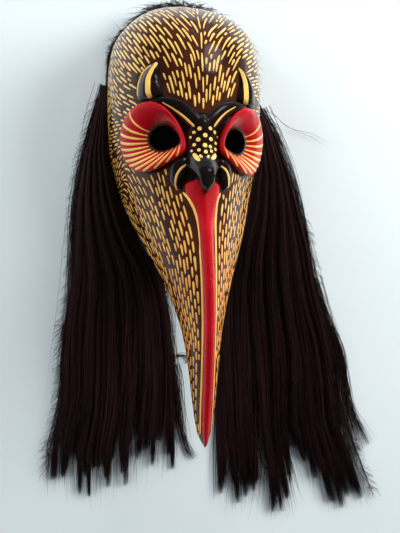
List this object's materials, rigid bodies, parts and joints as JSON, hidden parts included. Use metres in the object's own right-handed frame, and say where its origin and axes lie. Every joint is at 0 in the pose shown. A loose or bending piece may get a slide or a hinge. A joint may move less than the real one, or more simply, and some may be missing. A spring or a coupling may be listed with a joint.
{
  "type": "nahual mask",
  "caption": "Carved, lacquered wooden mask with an owl-like face, open ringed eyes, small horns and a long curved snout, and dark fibre hair round its crown and down both sides.",
  "frame": {"origin": "on the flat of the mask's rim, in the middle of its thickness, at the crown", "axes": "the mask lies face up on its rim: +Z out of the face, +Y past the crown, +X to the right of someone who looks at the face"},
  "size_m": [0.3966, 0.6065, 0.1426],
  "materials": {
    "lacquered_wood": "gloss lacquer, painted with yellow dashes, red and black",
    "fibre_hair": "dull loose fibre"
  },
  "bodies": {
    "root": {"mask": "lacquered_wood", "hair_crown": "fibre_hair", "hair_left": "fibre_hair", "hair_right": "fibre_hair"}
  },
  "joints": []
}
